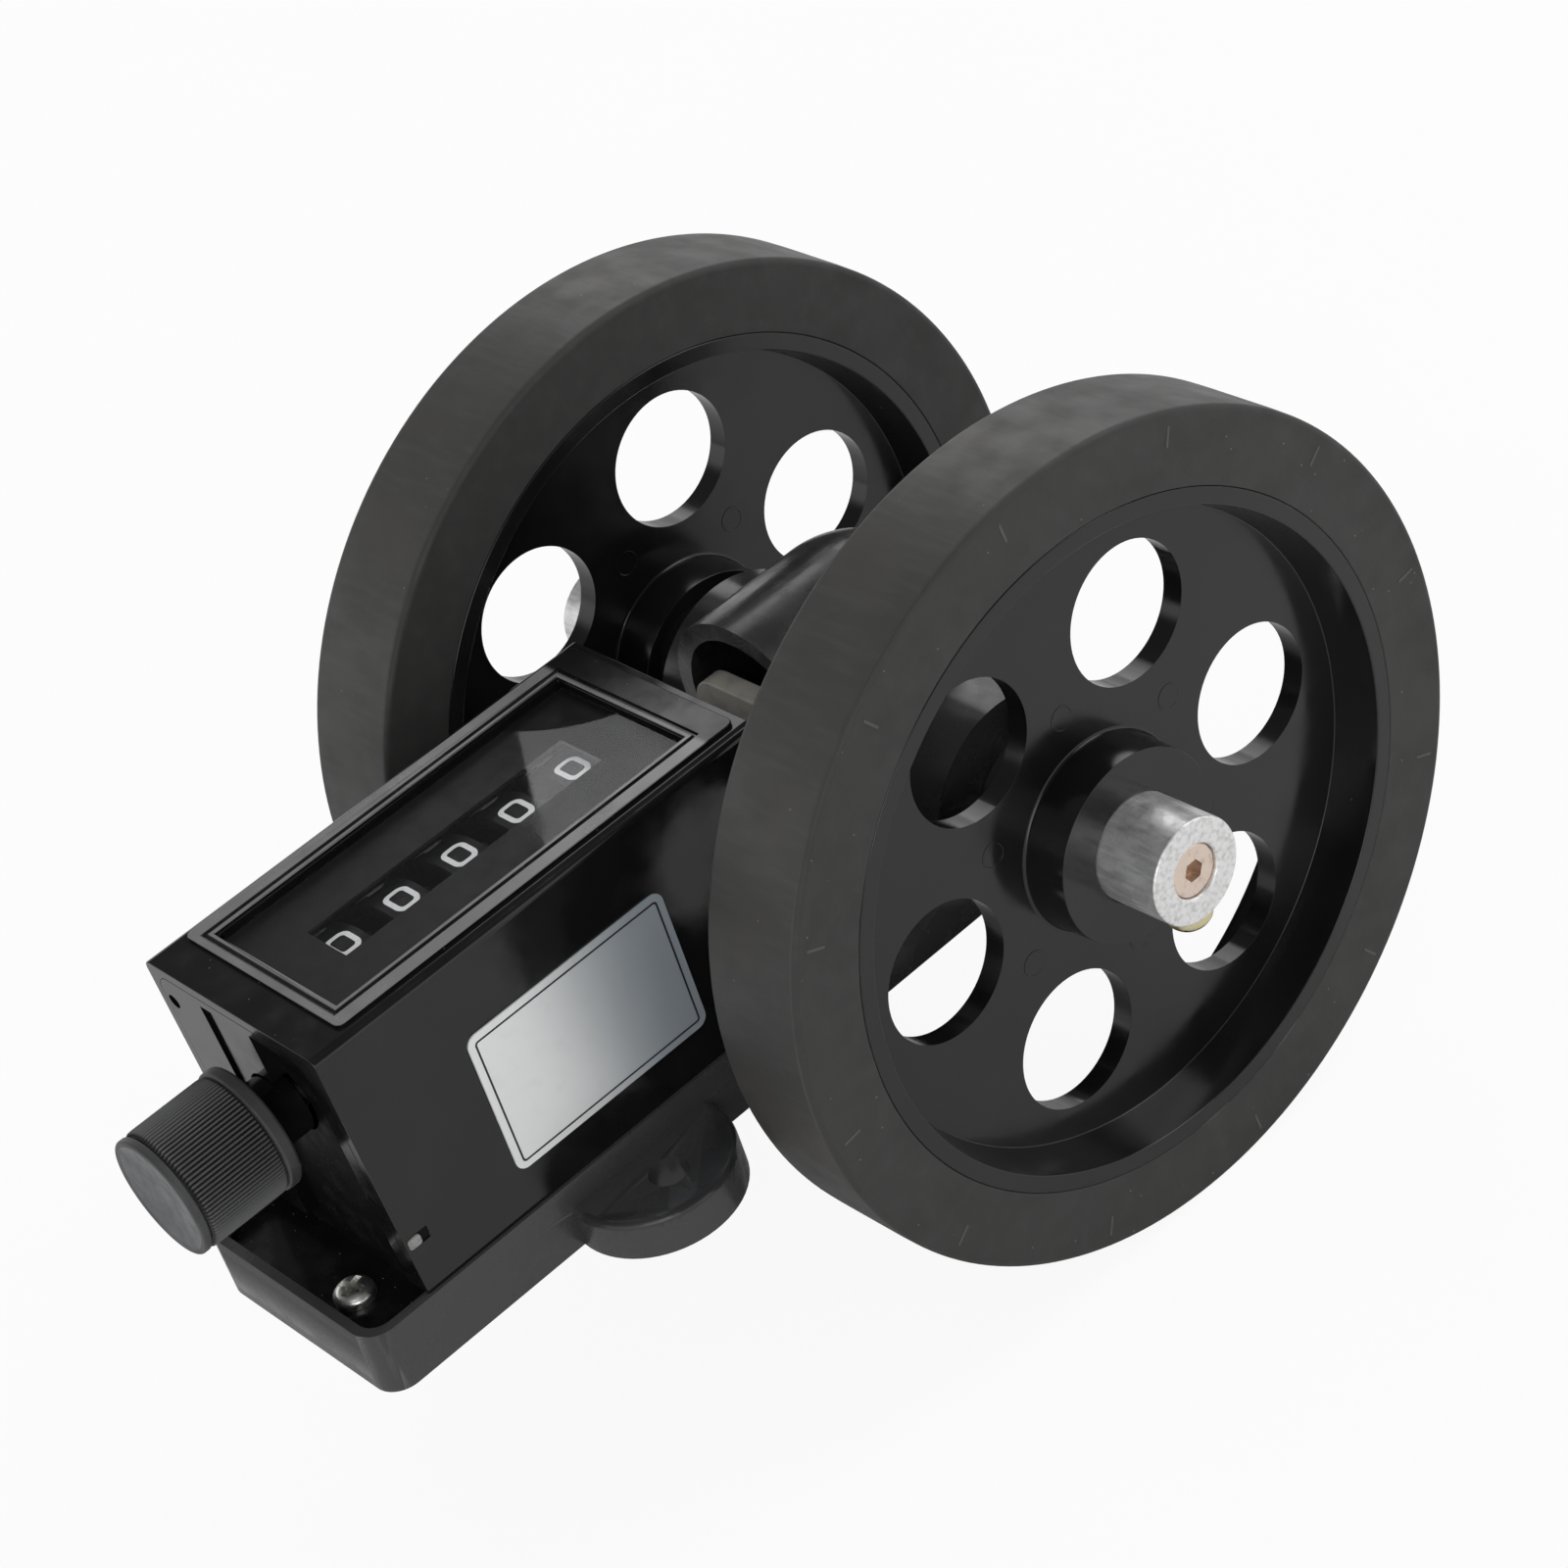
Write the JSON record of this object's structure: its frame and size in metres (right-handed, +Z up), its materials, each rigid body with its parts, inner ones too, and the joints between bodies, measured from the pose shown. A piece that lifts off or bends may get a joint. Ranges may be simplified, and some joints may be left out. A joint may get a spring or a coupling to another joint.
{
  "type": "cable length counter",
  "caption": "Wheel-driven length counter for cable and wire: rubber-tyred measuring wheels on an axle, gear case, number-drum counter with reset knob, on an eared base.",
  "frame": {"origin": "midway between the two ear holes, on the underside of the base", "axes": "+Z up from the fixing face, +X along the axle towards the side that carries the blank plate, -Y towards the reset knob"},
  "size_m": [0.1104, 0.163, 0.106],
  "materials": {
    "black_casting": "semi-gloss black paint over a casting",
    "cover_plastic": "glossy black moulding",
    "window_glass": "clear, slightly smoked",
    "mask_print": "black print",
    "blank_plate": "satin silver plate",
    "bridge_plastic": "cream moulding",
    "chassis_sheet": "black-finished steel sheet",
    "bush_bronze": "sintered bronze",
    "shaft_steel": "ground steel",
    "screw_nickel": "bright plated",
    "screw_zinc": "yellow zinc plating",
    "wheel_plastic": "glossy black moulding",
    "tyre_rubber": "matte black rubber",
    "sleeve_aluminium": "bright turned",
    "gear_brass": "cut brass",
    "drum_plastic": "black moulding",
    "gear_nylon": "natural nylon",
    "knob_plastic": "satin black moulding",
    "knob_face": "satin grey disc"
  },
  "bodies": {
    "housing": {"base": "black_casting", "gear_case": "black_casting", "bearing_bridge": "bridge_plastic", "chassis": "chassis_sheet", "cover": "cover_plastic", "front_plate": "cover_plastic", "window_bezel": "cover_plastic", "window_glass": "window_glass", "window_mask": "mask_print", "side_plate": "blank_plate", "drum_shaft_bushes": "bush_bronze", "drive_shaft_bushes": "bush_bronze", "axle_bushes": "bush_bronze", "pinion_shaft": "shaft_steel", "chassis_screws": "screw_nickel", "case_screws": "screw_nickel"},
    "axle_line": {"axle": "shaft_steel", "wheel_near": "wheel_plastic", "wheel_far": "wheel_plastic", "tyre_near": "tyre_rubber", "tyre_far": "tyre_rubber", "sleeve_near": "sleeve_aluminium", "sleeve_far": "sleeve_aluminium", "end_screws": "screw_zinc", "clamp_screws": "screw_zinc", "axle_gear": "gear_brass"},
    "drive_line": {"drive_shaft": "shaft_steel", "drive_gear": "gear_brass", "reduction_pinion": "gear_brass"},
    "tenths_drum": {"drum_tenths": "drum_plastic", "reduction_gear": "gear_nylon"},
    "units_drum": {"drum_units": "drum_plastic"},
    "tens_drum": {"drum_tens": "drum_plastic"},
    "hundreds_drum": {"drum_hundreds": "drum_plastic"},
    "thousands_drum": {"drum_thousands": "drum_plastic"},
    "transfer_1": {"transfer_pinion_1": "gear_nylon"},
    "transfer_2": {"transfer_pinion_2": "gear_nylon"},
    "transfer_3": {"transfer_pinion_3": "gear_nylon"},
    "transfer_4": {"transfer_pinion_4": "gear_nylon"},
    "reset": {"drum_shaft": "shaft_steel", "reset_knob": "knob_plastic", "knob_cap": "knob_face"}
  },
  "joints": [
    {"name": "axle_spin", "type": "hinge", "parent": "housing", "child": "axle_line", "pos_m": [0, 0.061, 0.019], "axis": [1, 0, 0], "continuous": true},
    {"name": "drive_spin", "type": "hinge", "parent": "housing", "child": "drive_line", "pos_m": [0, 0.03, 0.019], "axis": [0, 1, 0], "continuous": true},
    {"name": "tenths_spin", "type": "hinge", "parent": "housing", "child": "tenths_drum", "pos_m": [0, 0.0191, 0.0305], "axis": [0, 1, 0], "continuous": true},
    {"name": "units_spin", "type": "hinge", "parent": "housing", "child": "units_drum", "pos_m": [0, 0.01025, 0.0305], "axis": [0, 1, 0], "continuous": true},
    {"name": "tens_spin", "type": "hinge", "parent": "housing", "child": "tens_drum", "pos_m": [0, 0.0014, 0.0305], "axis": [0, 1, 0], "continuous": true},
    {"name": "hundreds_spin", "type": "hinge", "parent": "housing", "child": "hundreds_drum", "pos_m": [0, -0.00745, 0.0305], "axis": [0, 1, 0], "continuous": true},
    {"name": "thousands_spin", "type": "hinge", "parent": "housing", "child": "thousands_drum", "pos_m": [0, -0.0163, 0.0305], "axis": [0, 1, 0], "continuous": true},
    {"name": "transfer_4_spin", "type": "hinge", "parent": "housing", "child": "transfer_4", "pos_m": [-0.00725, 0.01295, 0.01794], "axis": [0, 1, 0], "continuous": true},
    {"name": "transfer_3_spin", "type": "hinge", "parent": "housing", "child": "transfer_3", "pos_m": [-0.00725, 0.0041, 0.01794], "axis": [0, 1, 0], "continuous": true},
    {"name": "transfer_2_spin", "type": "hinge", "parent": "housing", "child": "transfer_2", "pos_m": [-0.00725, -0.00475, 0.01794], "axis": [0, 1, 0], "continuous": true},
    {"name": "transfer_1_spin", "type": "hinge", "parent": "housing", "child": "transfer_1", "pos_m": [-0.00725, -0.0136, 0.01794], "axis": [0, 1, 0], "continuous": true},
    {"name": "reset_spin", "type": "hinge", "parent": "housing", "child": "reset", "pos_m": [0, -0.04, 0.0305], "axis": [0, 1, 0], "continuous": true}
  ],
  "couplings": [
    {"joint": "drive_spin", "follows": "axle_spin", "ratio": 1},
    {"joint": "tenths_spin", "follows": "axle_spin", "ratio": -0.33333},
    {"joint": "units_spin", "follows": "axle_spin", "ratio": -0.033333},
    {"joint": "tens_spin", "follows": "axle_spin", "ratio": -0.0033333},
    {"joint": "hundreds_spin", "follows": "axle_spin", "ratio": -0.00033333},
    {"joint": "thousands_spin", "follows": "axle_spin", "ratio": -0.000033333},
    {"joint": "transfer_4_spin", "follows": "axle_spin", "ratio": 0.083333},
    {"joint": "transfer_3_spin", "follows": "axle_spin", "ratio": 0.0083333},
    {"joint": "transfer_2_spin", "follows": "axle_spin", "ratio": 0.00083333},
    {"joint": "transfer_1_spin", "follows": "axle_spin", "ratio": 0.000083333}
  ]
}
